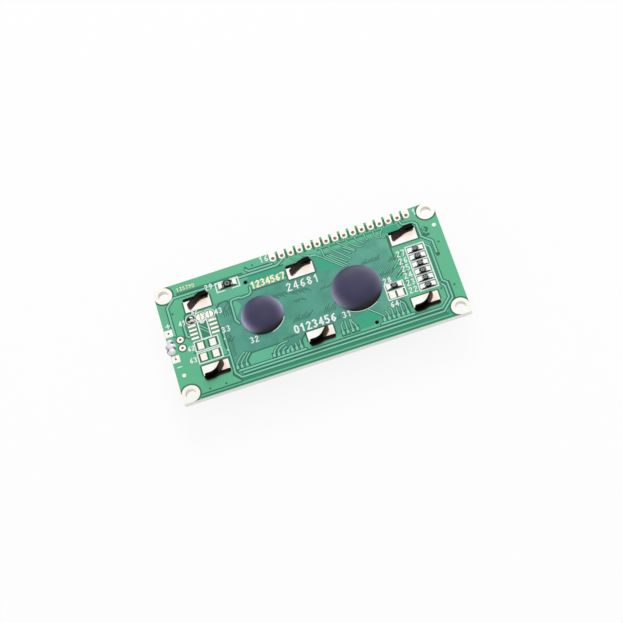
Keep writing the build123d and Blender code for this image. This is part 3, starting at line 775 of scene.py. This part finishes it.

# Below each lower tab and its slot a painted shadow lies on the mask. It is blackest by the slot,
# and reaches furthest at the tab's root.
shadow_length = 7.4
shadow_steps = 24
slot_edge = 12.63
shadow_top = 0.035
shadow_reach, root_reach = 0.66, 0.54
root_place, root_half = -0.28, 0.25
tab_shadows = bmesh.new()
dark_layer = tab_shadows.verts.layers.float.new("dark")
for x in tab_places:
    made = bmesh.ops.create_grid(
        tab_shadows, x_segments=shadow_steps, y_segments=6, size=0.5,
        matrix=Matrix.Diagonal((shadow_length, 1, 1, 1)),
    )
    for v in made["verts"]:
        along, down = v.co.x / shadow_length, 0.5 - v.co.y
        root = math.exp(-((along - root_place) / root_half) ** 4)
        end = min(1.0, 12 * (0.5 - abs(along)) + 0.1)
        v[dark_layer] = (1 - down) * (0.8 + 0.2 * root)
        v.co = (x + v.co.x, -slot_edge - down * (shadow_reach + root_reach * root) * end, 0)
raise_faces(tab_shadows, board_top - sunk, shadow_top + sunk)
tab_shadow_paint, tree = new_material("Painted shadow of the tabs on the solder mask")
dark = add_node(tree, "Attribute", attribute_name="dark").outputs["Fac"]
dark = add_node(tree, "MapRange", {
    "Value": dark, "From Min": 0.05, "From Max": 0.6,
}, interpolation_type="SMOOTHSTEP")
set_surface(tree, {
    # Black painted shadow by the slot, fading to the mask's green
    "Base Color": blend_colours(tree, dark, copper_green, "#040807"),
    "Roughness": between(tree, grain(tree, 0.5), 0.18, 0.30),
})
make_piece("painted_tab_shadows", tab_shadows, tab_shadow_paint, "solder_mask")

# In the header's narrow holes the tin is thin, and the reddish copper shows through.
header_tin, tree = new_material("Hot-dipped tin, thin in the holes")
bright = shades(tree, 1.2, *tin_shades)
set_tin(tree, blend_colours(tree, flat_faces(tree), "#DCC1B1", bright))
paint(header_tin, "header_lands")

# The wire is tinned too, but dull and brown with flux where it was cut and soldered.
wire, tree = new_material("Cut tinned wire with flux")
set_surface(tree, {
    "Base Color": shades(tree, 0.3, "#6E5646", "#8F7A66"),
    "Metallic": 0.6, "Roughness": between(tree, grain(tree, 0.2), 0.35, 0.55),
})
paint(wire, "anode_lead", "cathode_lead")

# White print. Epoxy ink, screened over the mask: outlines of the places for parts, with plain numbers
# and the signs of the backlight's two leads.
ink_top = 0.056
ink_width = 0.32
label_width = 0.28
digit_width = 0.62
digit_strokes = {
    "0": [[(0.1, 0.8), (0.3, 1.0), (0.5, 0.8), (0.5, 0.2), (0.3, 0.0), (0.1, 0.2), (0.1, 0.8)]],
    "1": [[(0.12, 0.75), (0.33, 1.0), (0.33, 0.0)]],
    "2": [[(0.08, 0.8), (0.3, 1.0), (0.52, 0.78), (0.08, 0.0), (0.54, 0.0)]],
    "3": [[(0.08, 0.9), (0.3, 1.0), (0.5, 0.8), (0.3, 0.53), (0.52, 0.25), (0.3, 0.0), (0.08, 0.1)]],
    "4": [[(0.42, 0.0), (0.42, 1.0), (0.06, 0.3), (0.56, 0.3)]],
    "5": [[(0.5, 1.0), (0.12, 1.0), (0.1, 0.57), (0.34, 0.62), (0.52, 0.3), (0.3, 0.0), (0.08, 0.1)]],
    "6": [[(0.48, 0.95), (0.2, 0.75), (0.1, 0.28), (0.3, 0.0), (0.52, 0.28), (0.3, 0.52), (0.12, 0.35)]],
    "7": [[(0.08, 1.0), (0.54, 1.0), (0.24, 0.0)]],
    "8": [[(0.3, 0.54), (0.1, 0.78), (0.3, 1.0), (0.5, 0.78), (0.3, 0.54), (0.08, 0.25), (0.3, 0.0),
           (0.52, 0.25), (0.3, 0.54)]],
    "9": [[(0.12, 0.05), (0.4, 0.25), (0.5, 0.72), (0.3, 1.0), (0.08, 0.72), (0.3, 0.48), (0.48, 0.65)]],
    "+": [[(0.05, 0.5), (0.65, 0.5)], [(0.35, 0.2), (0.35, 0.8)]],
    "-": [[(0.05, 0.5), (0.65, 0.5)]],
}


def add_number(bm, text, x, y, height, width=label_width, advance=0.78):
    """Plain digits in strokes, centred on a place; the advance is in parts of the height."""
    for i, digit in enumerate(text):
        left = (i - len(text) / 2) * advance + (advance - digit_width) / 2
        for stroke in digit_strokes[digit]:
            places = [(x + (left + u) * height, y + (v - 0.5) * height) for u, v in stroke]
            add_line(bm, places, width, ink_top)


def add_outline(bm, left, right, low, high):
    """A printed rectangle."""
    add_line(bm, [(left, low), (right, low), (right, high), (left, high), (left, low)], ink_width, ink_top)


# Places of the resistors and capacitors
ink = bmesh.new()
column_left, column_right = 28.85, 34.0
pair_left, pair_right = 20.2, 25.3
add_outline(ink, column_left, column_right, -7.6, 6.6)
for y in (4.15, 1.75, -0.55, -2.8, -5.15):
    add_bar(ink, (column_left, y), (column_right, y), ink_width, ink_top)
add_outline(ink, pair_left, pair_right, -7.4, -2.6)
add_bar(ink, (pair_left, -4.9), (pair_right, -4.9), ink_width, ink_top)
add_outline(ink, -33.0, -26.4, -4.15, -1.05)
add_outline(ink, -33.0, -26.4, -7.9, -4.7)
# The empty chip's place, with a notch at its upper end
chip_left, chip_right, chip_low, chip_high = -30.6, -28.0, -0.9, 4.5
for x in (chip_left, chip_right):
    add_bar(ink, (x, chip_low), (x, chip_high), 0.35, ink_top)
for y in (chip_high, chip_low):
    add_bar(ink, (chip_left, y), (chip_right, y), ink_width, ink_top)
add_line(ink, [(-29.9, 4.4), (-29.6, 3.9), (-29.0, 3.9), (-28.7, 4.4)], ink_width, ink_top)
for side, reach in ((-20.9, -23.1), (-18.9, -16.7)):
    add_line(ink, [(side, 14.2), (reach, 14.2), (reach, 11.3), (side, 11.3)], ink_width, ink_top)
for x in jumper_xs:
    add_ring(ink, x, jumper_y, 1.4, 1.62, ink_top)
for y in (-2.9, -6.4):
    add_disc(ink, -24.8, y, 0.22, ink_top)
for text, x, y, height in (
    ("16", -8.4, 16.9, 1.8), ("1", 34.5, 16.4, 1.8), ("+", -38.6, 6.1, 2.0), ("-", -38.5, -6.9, 2.0),
    *[(str(27 - i), 27.2, y, 1.7) for i, y in enumerate((5.3, 2.95, 0.6, -1.7, -4.0, -6.4))],
    ("28", 21.4, -1.4, 1.7), ("29", -25.0, 13.9, 1.6),
    ("62", -34.1, -2.6, 1.3), ("63", -34.4, -6.2, 1.4), ("64", 21.3, -8.8, 1.6), ("41", -34.6, 5.6, 1.4),
    ("42", -30.6, 7.9, 1.2), ("43", -24.3, 5.9, 1.5), ("33", -23.7, -0.2, 1.7), ("32", -17.2, -5.9, 1.7),
    ("31", 8.3, -7.2, 1.7),
):
    add_number(ink, text, x, y, height)
add_number(ink, "0123456", -0.5, -6.9, 2.2, 0.46)
add_number(ink, "24681", -0.3, 6.15, 2.3, 0.36, 0.84)
# A circle is printed round the place of each dome; the epoxy has left only a short arc of it bare
arc_width = 0.17
arc_steps = 14
for name, start, end, clear in (("small", -76, -24, 0.06), ("large", -126, -56, 0.04)):
    low, high = box_of(f"{name}_epoxy_dome")
    radius = (high.x - low.x) / 2 + clear
    turns = [math.radians(start + (end - start) * i / arc_steps) for i in range(arc_steps + 1)]
    middle = (low + high) / 2
    arc = [(middle.x + radius * math.cos(turn), middle.y + radius * math.sin(turn)) for turn in turns]
    add_line(ink, arc, arc_width, ink_top)
# Two numbers are copper left bare by the mask, with a thin tan-coloured tin on it
thin_tin, tree = new_material("Thin tan-coloured tin on copper")
set_surface(tree, {
    "Base Color": shades(tree, 0.6, "#E2D0AE", "#F2E6CE"),
    "Metallic": 0.8, "Roughness": between(tree, grain(tree, 0.4), 0.20, 0.34),
})
tinned_digits = bmesh.new()
add_number(tinned_digits, "1234567", -9.1, 10.15, 1.95, 0.38, 0.72)
add_number(tinned_digits, "135790", -31.1, 16.0, 1.15, 0.15, 0.76)
make_piece("tinned_digits", tinned_digits, thin_tin, "tinned_copper")
# Screened ink is matt, and a little thin and uneven over the mask
white_ink, tree = new_material("White screened epoxy ink")
set_surface(tree, {
    "Base Color": shades(tree, 0.3, "#E2EEE8", "#F8FBF9"),
    "Roughness": between(tree, grain(tree, 0.4), 0.40, 0.60),
    "Normal": bumps(tree, grain(tree, 0.2), 0.008),
})
make_piece("white_print", ink, white_ink, "solder_mask")

# Resistors. Ceramic chips with a black glaze and soldered metal ends.
# The glaze has a soft shine on top, and its sides are painted dead black as painted shade.
glaze, tree = new_material("Black glaze on alumina ceramic")
top_glaze = shades(tree, 0.5, "#070709", "#131317")
set_surface(tree, {
    # The sides are painted darker than the top, as painted shade
    "Base Color": blend_colours(tree, flat_faces(tree), "#030304", top_glaze),
    "Roughness": between(tree, grain(tree, 0.3), 0.25, 0.40), "Specular IOR Level": 0.3,
    "Normal": bumps(tree, grain(tree, 0.25), 0.01),
})
paint(glaze, *resistors)

# Each has a grey ring painted on the top of its glaze, as a painted highlight
glaze_highlights = bmesh.new()
highlight_thickness = 0.008
highlight_width = 0.22
highlight_inset = 0.17
for name in resistors:
    low, high = box_of(name)
    middle = (low + high) / 2
    reach = (high.y - low.y) / 2 - highlight_inset
    # Each ring is a painted highlight
    add_ring(glaze_highlights, middle.x, middle.y, reach - highlight_width, reach, highlight_thickness, 24)
glaze_top = box_of("resistor_1")[1].z
bmesh.ops.translate(glaze_highlights, verts=glaze_highlights.verts, vec=(0, 0, glaze_top - board_top))
highlight_paint, tree = new_material("Grey painted highlight on the glaze")
set_surface(tree, {"Base Color": shades(tree, 0.2, "#8A9095", "#A9AEB2"), "Roughness": 0.5})
make_piece("resistor_glaze_highlights", glaze_highlights, highlight_paint, "resistor_glaze")

# Solder is as bright as the tin and lumpier
solder, tree = new_material("Bright tin-lead solder")
set_surface(tree, {
    "Base Color": shades(tree, 0.7, "#F2F2F0", "#FFFFFF"),
    "Metallic": 1.0, "Roughness": between(tree, grain(tree, 0.4), 0.12, 0.28),
    "Normal": bumps(tree, grain(tree, 0.8), 0.03),
})
paint(solder, "resistor_solder", "lead_solder")

# The dome of solder over the split land has dull dark patches, where it cooled last.
patched, tree = new_material("Solder with dull patches")
patch = add_node(tree, "MapRange", {"Value": grain(tree, 1.1, 1.0), "From Min": 0.42, "From Max": 0.52})
set_surface(tree, {
    "Base Color": blend_colours(tree, patch, "#2B2A2C", "#E3E0D8"),
    "Metallic": 1.0, "Roughness": between(tree, grain(tree, 0.4), 0.12, 0.28),
})
paint(patched, "jumper_solder")

# A resistor's ends are plated, beside the solder that wets them. Their tops are painted dark in patches as
# painted dark reflections, and their sides dark as painted shade.
plating, tree = new_material("Dull tin plating")
dark_reflection_patches = add_node(tree, "MapRange", {"Value": grain(tree, 0.7), "From Min": 0.40, "From Max": 0.60})
bright = blend_colours(tree, dark_reflection_patches, "#161517", "#B5B3B0")
set_surface(tree, {
    # Painted shade down the sides, painted dark reflections in patches on top
    "Base Color": blend_colours(tree, flat_faces(tree), "#0E0D0F", bright),
    "Metallic": 0.7, "Roughness": between(tree, grain(tree, 0.3), 0.40, 0.55),
})
paint(plating, "resistor_ends")

# A painted shadow lies along the lower side of each resistor and its joints.
resistor_shadow_width = 0.34
resistor_shadow_reach = 1.2
resistor_shadow_top = box_of("resistor_lands")[1].z - board_top + 0.02
# Bars of near-black paint for the painted shadows
flux = bmesh.new()
for name in resistors:
    low, high = box_of(name)
    y = low.y - resistor_shadow_width / 2
    add_bar(flux, (low.x - resistor_shadow_reach, y), (high.x + resistor_shadow_reach, y), resistor_shadow_width, resistor_shadow_top)
resistor_shadow_paint, tree = new_material("Painted shadow below the resistors")
set_surface(tree, {
    "Base Color": shades(tree, 0.5, "#040707", "#0F1614"),
    "Roughness": between(tree, grain(tree, 0.3), 0.25, 0.45),
})
make_piece("painted_resistor_shadows", flux, resistor_shadow_paint, "solder_mask")

# Chips and their domes. A bare silicon die is glued to the board, wired, and covered with a drop of
# dark epoxy, which runs out to a wavy edge before it sets.
# Polished silicon is a grey mirror, between glass and metal
silicon, tree = new_material("Polished silicon")
set_surface(tree, {"Base Color": shades(tree, 0.6, "#34343A", "#45454C"), "Metallic": 0.6, "Roughness": 0.2})
paint(silicon, "small_chip", "large_chip")

# Filled epoxy is a grey violet, with a satin skin, paler where it ran out thin. A painted sheen lies on its
# rim towards the board's left end and above, and painted shade on its rim below.
thin_height = 0.42
epoxy, tree = new_material("Dark filled epoxy")
place = add_node(tree, "SeparateXYZ", {"Vector": position(tree)})
rim = add_node(tree, "MapRange", {
    "Value": place.outputs["Z"], "From Min": board_top, "From Max": board_top + thin_height,
})
painted_sheen = add_node(tree, "Attribute", attribute_name="painted_sheen").outputs["Fac"]
shade = add_node(tree, "Attribute", attribute_name="shade").outputs["Fac"]
thick = shades(tree, 2.6, "#272446", "#343055")
violet = blend_colours(tree, rim, "#9187B4", thick)
violet = blend_colours(tree, painted_sheen, violet, "#B8B9D4")
set_surface(tree, {
    "Base Color": blend_colours(tree, shade, violet, "#040208"),
    "Specular IOR Level": 0.33,
    "Roughness": between(tree, grain(tree, 0.9), 0.32, 0.46),
    "Normal": bumps(tree, grain(tree, 0.3, 3.0), 0.02),
})
wobble = 0.02
dent = 0.03
run_out = math.radians(205)
sheen_and_shade_turns = [math.radians(turn) for turn in (197, 8, -78)]
flat_side = 1e-4
for name, fringe, shift, sheen_strength in (("small", 0.045, 3.0, 1.7), ("large", 0.022, 8.0, 1.0)):
    low, high = box_of(f"{name}_epoxy_dome")
    centre = (low + high) / 2
    reach = (high.x - low.x) / 2
    crown = high.z - board_top
    bm = bmesh.new()
    bmesh.ops.create_uvsphere(bm, u_segments=96, v_segments=64, radius=1)
    bmesh.ops.delete(bm, geom=[v for v in bm.verts if v.co.z < -flat_side], context="VERTS")
    bmesh.ops.holes_fill(bm, edges=[e for e in bm.edges if e.is_boundary], sides=0)
    sheen_layer = bm.verts.layers.float.new("painted_sheen")
    shade_layer = bm.verts.layers.float.new("shade")
    for v in bm.verts:
        angle = math.atan2(v.co.y, v.co.x)
        out = math.hypot(v.co.x, v.co.y)
        wave = noise.noise(Vector((math.cos(angle), math.sin(angle), shift)) * 1.3)
        ragged = max(0.0, math.cos(angle - run_out)) * noise.noise(Vector((angle * 9, shift, 0)))
        edge = reach * (1 - wobble + wobble * wave + fringe * ragged)
        lift = math.sqrt(max(0.0, 1 - min(out, 1.0) ** 3))
        hollow = noise.noise(Vector((v.co.x, v.co.y, shift)) * 2.2)
        z = board_top + crown * lift * (1 - dent + dent * hollow)
        if v.co.z < flat_side:
            z = board_top
        v.co = (centre.x + edge * out * math.cos(angle), centre.y + edge * out * math.sin(angle), z)
        # A painted sheen on the rim to the left and above, and painted shade on the rim below
        left, above, below = [max(0.0, math.cos(angle - turn)) ** 2 for turn in sheen_and_shade_turns]
        v[sheen_layer] = min(1.0, sheen_strength * out ** 8 * (left + 0.65 * above))
        v[shade_layer] = min(1.0, 1.8 * out ** 5 * below)
    made = make_piece(f"{name}_dome_skin", bm, epoxy, "dark_epoxy", (f"{name}_epoxy_dome",))
    made.data.shade_smooth()

# Glue. A dab of clear adhesive over the board's left edge holds the backlight's tongue.
# It has gone milky, with lumps, and its surface is wet-looking.
voxel = 0.14
lumps = bmesh.new()
for x, y, z, radius in (
    (-39.15, 1.05, 8.45, 1.0), (-38.95, -0.3, 8.3, 1.2), (-39.2, -1.85, 8.45, 1.0),
    (-39.9, 0.3, 7.75, 0.9), (-39.9, -1.3, 7.8, 0.9), (-39.9, -0.5, 6.9, 0.85),
):
    bmesh.ops.create_icosphere(lumps, subdivisions=3, radius=radius, matrix=Matrix.Translation((x, y, z)))
# Streaks of violet grey are painted through the white as painted reflections,
# and light goes a little way into it
glue, tree = new_material("Milky clear adhesive")
painted_reflection_streaks = add_node(tree, "MapRange", {"Value": grain(tree, 1.3), "From Min": 0.38, "From Max": 0.47})
set_surface(tree, {
    # Painted reflections in violet grey through the white
    "Base Color": blend_colours(tree, painted_reflection_streaks, "#6A6594", "#F6F8FF"),
    "Roughness": 0.08, "IOR": 1.45, "Transmission Weight": 0.08, "Subsurface Weight": 0.3,
    "Subsurface Radius": (1.0, 1.0, 1.0), "Subsurface Scale": 0.5 * MM,
    "Normal": bumps(tree, grain(tree, 0.5), 0.05),
})
glue_piece = make_piece("adhesive_dab", lumps, glue, "clear_glue", ("glue_dab",))
remesh = glue_piece.modifiers.new("one skin", "REMESH")
remesh.mode = "VOXEL"
remesh.voxel_size = voxel * MM
remesh.use_smooth_shade = True
soften = glue_piece.modifiers.new("soft joins", "SMOOTH")
soften.iterations = 6
